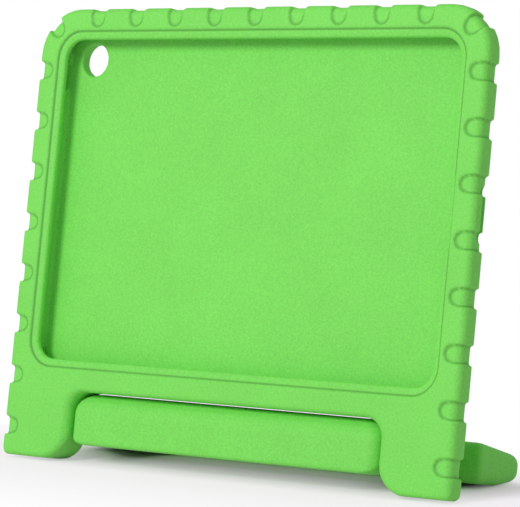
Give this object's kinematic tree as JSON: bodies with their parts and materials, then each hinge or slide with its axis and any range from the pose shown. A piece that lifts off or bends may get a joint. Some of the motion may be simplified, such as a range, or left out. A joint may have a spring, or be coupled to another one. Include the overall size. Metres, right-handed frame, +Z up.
{
  "type": "kids tablet case",
  "caption": "Foam case that grips a ten-inch tablet, with feet and a swing-out handle that props it up on a table or carries it.",
  "frame": {"origin": "on the floor, under the middle of the standing case's bounding box", "axes": "+X to the viewer's right seen from the tablet side, +Y to the back, where the handle props the case, +Z up"},
  "size_m": [0.2762, 0.0888, 0.2308],
  "materials": {
    "foam_green": "matte closed-cell foam with a fine speckle",
    "foam_green_handle": "matte closed-cell foam with a fine speckle",
    "pin_plastic": "moulded"
  },
  "bodies": {
    "case": {"case_shell": "foam_green", "hinge_pin_left": "pin_plastic", "hinge_pin_right": "pin_plastic"},
    "handle": {"handle": "foam_green_handle"}
  },
  "joints": [
    {"name": "handle_swing", "type": "hinge", "parent": "case", "child": "handle", "pos_m": [0, -0.02875, 0.02049], "axis": [1, 0, 0], "range_deg": [-100, 0]}
  ]
}
